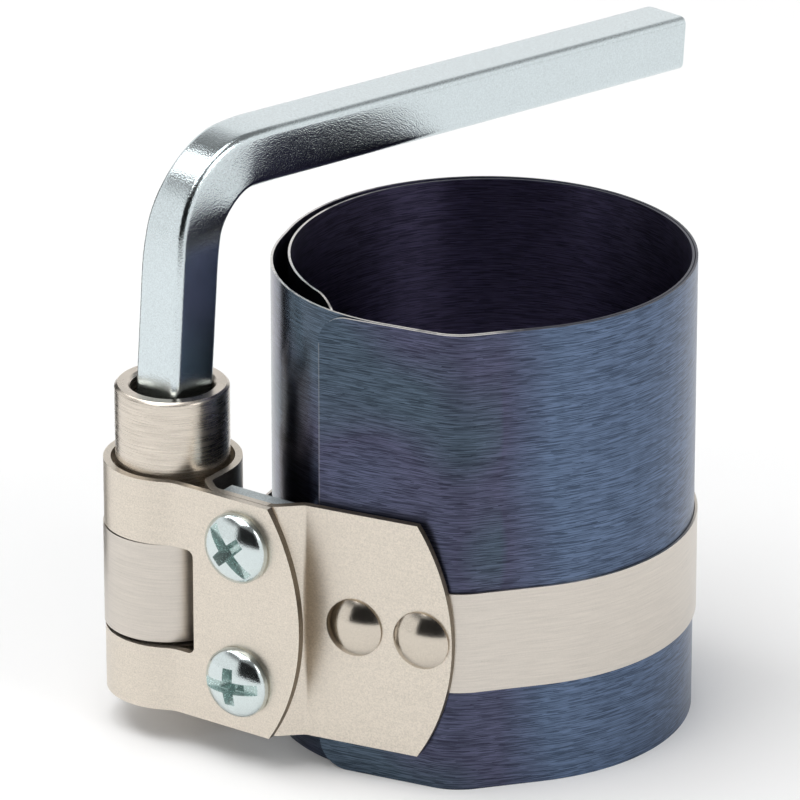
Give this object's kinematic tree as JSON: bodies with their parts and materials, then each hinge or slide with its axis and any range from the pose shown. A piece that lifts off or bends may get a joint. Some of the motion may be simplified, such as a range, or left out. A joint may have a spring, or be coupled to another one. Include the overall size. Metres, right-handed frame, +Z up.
{
  "type": "piston ring compressor",
  "caption": "Ring compressor: a rolled spring-steel sleeve, drawn tight round a piston by a band that a square key winds onto a drum in a clamp.",
  "frame": {"origin": "on the axis of the sleeve's bore, in the plane of its lower rim", "axes": "+Z up the bore's axis, -Y out of the riveted plate, the winding drum stands at -X"},
  "size_m": [0.0907, 0.1344, 0.1005],
  "materials": {
    "blued_spring_steel": "blued, fine rolling lines",
    "band_steel": "satin",
    "satin_nickel": "satin nickel plate",
    "dull_zinc": "dull zinc plate",
    "turned_nickel": "turned, nickel plate",
    "bright_zinc": "bright zinc plate",
    "screw_zinc": "bright zinc plate",
    "polished_nickel": "polished nickel plate"
  },
  "bodies": {
    "frame": {"sleeve": "blued_spring_steel", "tension_band": "band_steel", "clamp_body": "satin_nickel", "nut_plate": "dull_zinc", "left_rivet": "polished_nickel", "right_rivet": "polished_nickel"},
    "drum": {"winding_drum": "turned_nickel", "band_coil": "band_steel"},
    "key": {"square_key": "bright_zinc"},
    "upper_screw": {"upper_clamp_screw": "screw_zinc"},
    "lower_screw": {"lower_clamp_screw": "screw_zinc"}
  },
  "joints": [
    {"name": "drum_turn", "type": "hinge", "parent": "frame", "child": "drum", "pos_m": [-0.04436, -0.0286, 0.0264], "axis": [0, 0, 1], "range_deg": [-180, 1260]},
    {"name": "key_lift", "type": "slide", "parent": "drum", "child": "key", "axis": [0.0242, 0.0746, 0.9969], "range_m": [0, 0.03]},
    {"name": "upper_screw_turn", "type": "hinge", "parent": "frame", "child": "upper_screw", "pos_m": [-0.02612, -0.04147, 0.0389], "axis": [-0.1736, -0.9848, 0], "range_deg": [0, 1440]},
    {"name": "lower_screw_turn", "type": "hinge", "parent": "frame", "child": "lower_screw", "pos_m": [-0.02612, -0.04147, 0.0149], "axis": [-0.1736, -0.9848, 0], "range_deg": [0, 1440]}
  ]
}
